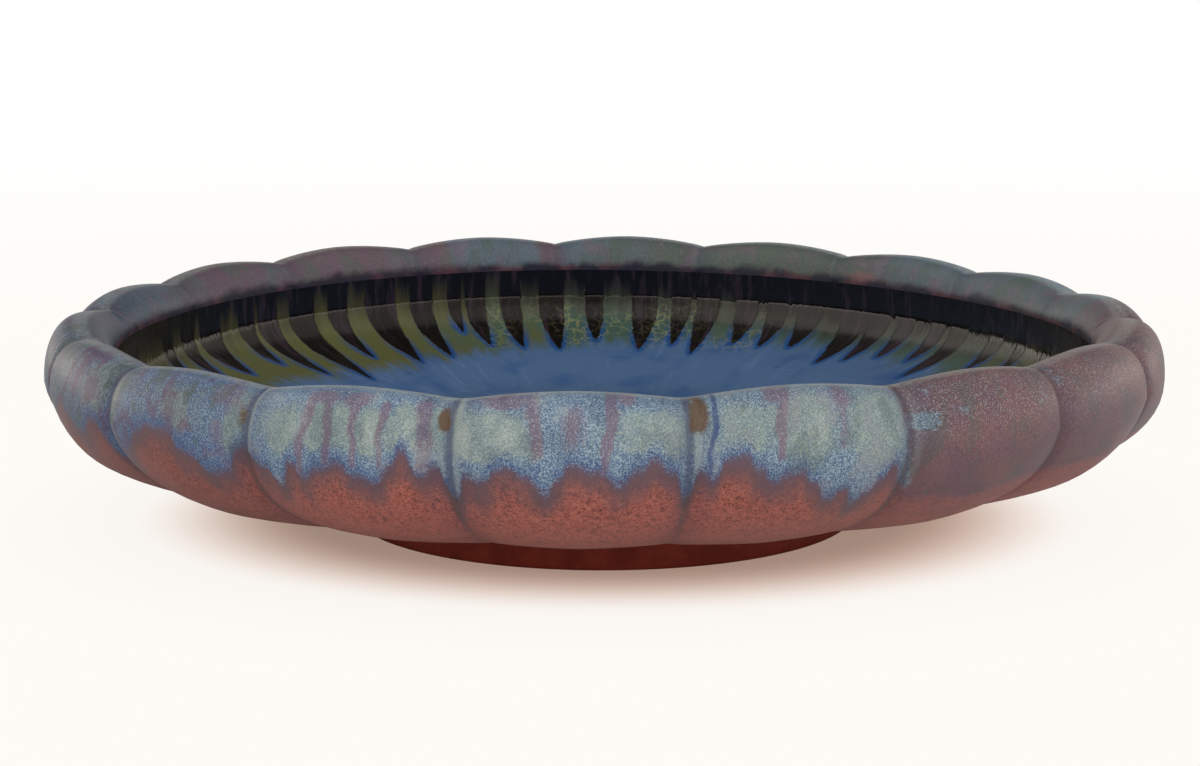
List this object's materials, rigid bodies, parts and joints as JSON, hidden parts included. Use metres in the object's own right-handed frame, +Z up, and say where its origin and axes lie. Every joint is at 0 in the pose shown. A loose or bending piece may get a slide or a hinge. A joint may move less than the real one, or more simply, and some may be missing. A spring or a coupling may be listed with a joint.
{
  "type": "ikebana suiban",
  "caption": "Low, wide stoneware water basin with a puffed lobed wall on a turned foot ring, glossy glaze inside and a pooled glaze floor for a pin holder.",
  "frame": {"origin": "on the basin's axis, on the surface that the foot ring stands on", "axes": "+Z up along the basin's axis, -Y towards the side that the picture shows, where the middle of a lobe lies"},
  "size_m": [0.357, 0.36, 0.0694],
  "materials": {
    "outer_glaze": "satin matte glaze, rose red with a blue-grey flow over the rim",
    "bare_clay": "matte dark red-brown fired clay",
    "dark_glaze": "glossy black, olive and blue run glaze",
    "blue_glaze": "glossy steel blue pooled glaze"
  },
  "bodies": {
    "root": {"lobed_basin": "outer_glaze", "foot_ring": "bare_clay", "wall_glaze": "dark_glaze", "floor_glaze": "blue_glaze"}
  },
  "joints": []
}
